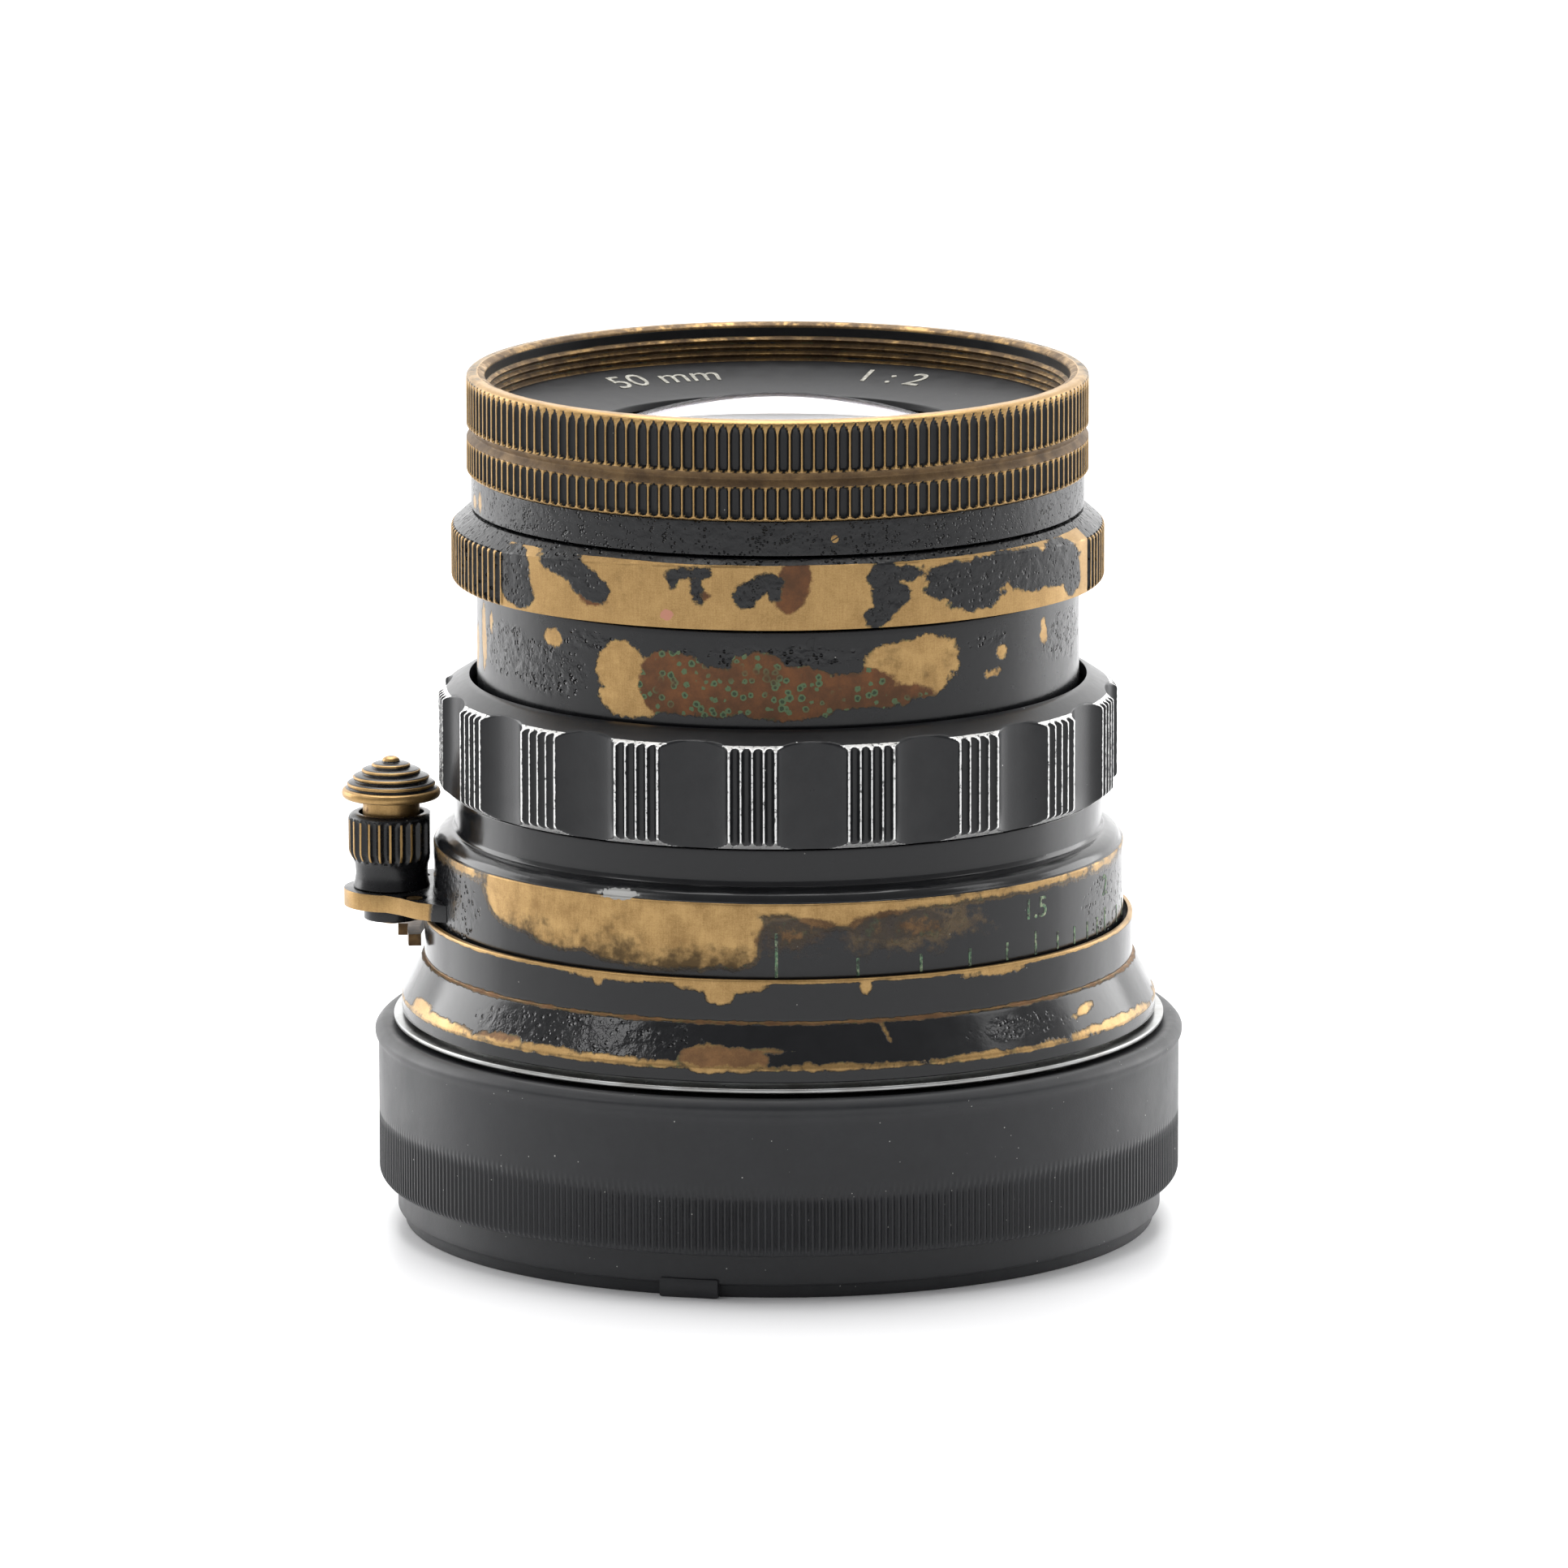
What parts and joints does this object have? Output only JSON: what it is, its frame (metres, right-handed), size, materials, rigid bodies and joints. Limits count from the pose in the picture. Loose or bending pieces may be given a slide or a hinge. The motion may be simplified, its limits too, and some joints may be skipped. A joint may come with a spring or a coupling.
{
  "type": "rangefinder camera lens",
  "caption": "Standard lens standing on its ribbed rear cap, with a scalloped focus grip, an infinity lock button, an aperture ring and an iris.",
  "frame": {"origin": "middle of the rear cap's flat foot, on the optical axis", "axes": "+Z along the optical axis towards the front rim; -Y towards the near end of the distance scale; -X towards the infinity lock button; focus at infinity, iris open"},
  "size_m": [0.0571, 0.0548, 0.0583],
  "materials": {
    "black_plastic": "fine matt moulding, dusty",
    "chrome": "satin plated brass",
    "black_paint": "gloss black lacquer on brass, worn through at edges and handled patches",
    "black_aluminium": "black anodised, worn to bright metal on the ridges",
    "brass": "bare, dulled",
    "steel": "satin",
    "matt_black": "matt anti-reflection black",
    "coated_glass": "polished, single coated"
  },
  "bodies": {
    "cap": {"rear_cap": "black_plastic"},
    "mount": {"mount_flange": "chrome", "fixed_ring": "black_paint", "flange_screw_1": "steel", "flange_screw_2": "steel", "flange_screw_3": "steel", "flange_screw_4": "steel", "guide_key": "brass", "infinity_catch": "brass", "catch_screw": "steel"},
    "focusing_ring": {"scale_ring": "black_paint", "focus_grip": "black_aluminium", "lock_tab": "black_paint", "tab_screw_1": "brass", "tab_screw_2": "brass", "lock_collar": "black_paint", "lock_bush": "brass", "lock_spring": "steel"},
    "lock_button": {"lock_button": "brass"},
    "barrel": {"lens_barrel": "black_paint", "barrel_screw": "brass", "click_ball": "steel", "click_spring": "steel", "rangefinder_cam": "brass", "blade_carrier": "brass", "front_barrel": "black_paint", "neck_screw": "steel", "front_ring": "black_paint", "name_ring": "black_paint", "front_cell": "matt_black", "rear_cell": "matt_black", "rear_retainer": "brass", "head_lock_ring": "brass", "element_1": "coated_glass", "element_2": "coated_glass", "element_3": "coated_glass", "element_4": "coated_glass", "element_5": "coated_glass", "element_6": "coated_glass", "element_7": "coated_glass"},
    "aperture_ring": {"aperture_ring": "black_paint", "drive_pin": "steel", "iris_ring": "brass"},
    "blade_01": {"iris_blade_01": "matt_black"},
    "blade_02": {"iris_blade_02": "matt_black"},
    "blade_03": {"iris_blade_03": "matt_black"},
    "blade_04": {"iris_blade_04": "matt_black"},
    "blade_05": {"iris_blade_05": "matt_black"},
    "blade_06": {"iris_blade_06": "matt_black"},
    "blade_07": {"iris_blade_07": "matt_black"},
    "blade_08": {"iris_blade_08": "matt_black"},
    "blade_09": {"iris_blade_09": "matt_black"},
    "blade_10": {"iris_blade_10": "matt_black"}
  },
  "joints": [
    {"name": "lens_lift", "type": "slide", "parent": "cap", "child": "mount", "axis": [0, 0, 1], "range_m": [0, 0.025]},
    {"name": "focus_turn", "type": "hinge", "parent": "mount", "child": "focusing_ring", "pos_m": [0, 0, 0.03], "axis": [0, 0, 1], "range_deg": [0, 133]},
    {"name": "barrel_extension", "type": "slide", "parent": "mount", "child": "barrel", "axis": [0, 0, 1], "range_m": [0, 0.00304]},
    {"name": "lock_press", "type": "slide", "parent": "focusing_ring", "child": "lock_button", "axis": [0, 0, -1], "range_m": [0, 0.0008], "stiffness_N_per_m": 600, "springref_m": -0.001, "deforming": ["lock_spring"]},
    {"name": "aperture_turn", "type": "hinge", "parent": "barrel", "child": "aperture_ring", "pos_m": [0, 0, 0.0466], "axis": [0, 0, -1], "range_deg": [0, 75]},
    {"name": "blade_01_swing", "type": "hinge", "parent": "barrel", "child": "blade_01", "pos_m": [0.0164, 0, 0.0426], "axis": [0, 0, 1], "range_deg": [0, 34.2]},
    {"name": "blade_02_swing", "type": "hinge", "parent": "barrel", "child": "blade_02", "pos_m": [0.01327, 0.00964, 0.04282], "axis": [0, 0, 1], "range_deg": [0, 34.2]},
    {"name": "blade_03_swing", "type": "hinge", "parent": "barrel", "child": "blade_03", "pos_m": [0.00507, 0.0156, 0.04304], "axis": [0, 0, 1], "range_deg": [0, 34.2]},
    {"name": "blade_04_swing", "type": "hinge", "parent": "barrel", "child": "blade_04", "pos_m": [-0.00507, 0.0156, 0.04326], "axis": [0, 0, 1], "range_deg": [0, 34.2]},
    {"name": "blade_05_swing", "type": "hinge", "parent": "barrel", "child": "blade_05", "pos_m": [-0.01327, 0.00964, 0.04348], "axis": [0, 0, 1], "range_deg": [0, 34.2]},
    {"name": "blade_06_swing", "type": "hinge", "parent": "barrel", "child": "blade_06", "pos_m": [-0.0164, 0, 0.0437], "axis": [0, 0, 1], "range_deg": [0, 34.2]},
    {"name": "blade_07_swing", "type": "hinge", "parent": "barrel", "child": "blade_07", "pos_m": [-0.01327, -0.00964, 0.04392], "axis": [0, 0, 1], "range_deg": [0, 34.2]},
    {"name": "blade_08_swing", "type": "hinge", "parent": "barrel", "child": "blade_08", "pos_m": [-0.00507, -0.0156, 0.04414], "axis": [0, 0, 1], "range_deg": [0, 34.2]},
    {"name": "blade_09_swing", "type": "hinge", "parent": "barrel", "child": "blade_09", "pos_m": [0.00507, -0.0156, 0.04436], "axis": [0, 0, 1], "range_deg": [0, 34.2]},
    {"name": "blade_10_swing", "type": "hinge", "parent": "barrel", "child": "blade_10", "pos_m": [0.01327, -0.00964, 0.04458], "axis": [0, 0, 1], "range_deg": [0, 34.2]}
  ],
  "couplings": [
    {"joint": "barrel_extension", "follows": "focus_turn", "m_per_rad": 0.001305},
    {"joint": "blade_01_swing", "follows": "aperture_turn", "ratio": 0.4533},
    {"joint": "blade_02_swing", "follows": "aperture_turn", "ratio": 0.4533},
    {"joint": "blade_03_swing", "follows": "aperture_turn", "ratio": 0.4533},
    {"joint": "blade_04_swing", "follows": "aperture_turn", "ratio": 0.4533},
    {"joint": "blade_05_swing", "follows": "aperture_turn", "ratio": 0.4533},
    {"joint": "blade_06_swing", "follows": "aperture_turn", "ratio": 0.4533},
    {"joint": "blade_07_swing", "follows": "aperture_turn", "ratio": 0.4533},
    {"joint": "blade_08_swing", "follows": "aperture_turn", "ratio": 0.4533},
    {"joint": "blade_09_swing", "follows": "aperture_turn", "ratio": 0.4533},
    {"joint": "blade_10_swing", "follows": "aperture_turn", "ratio": 0.4533}
  ]
}
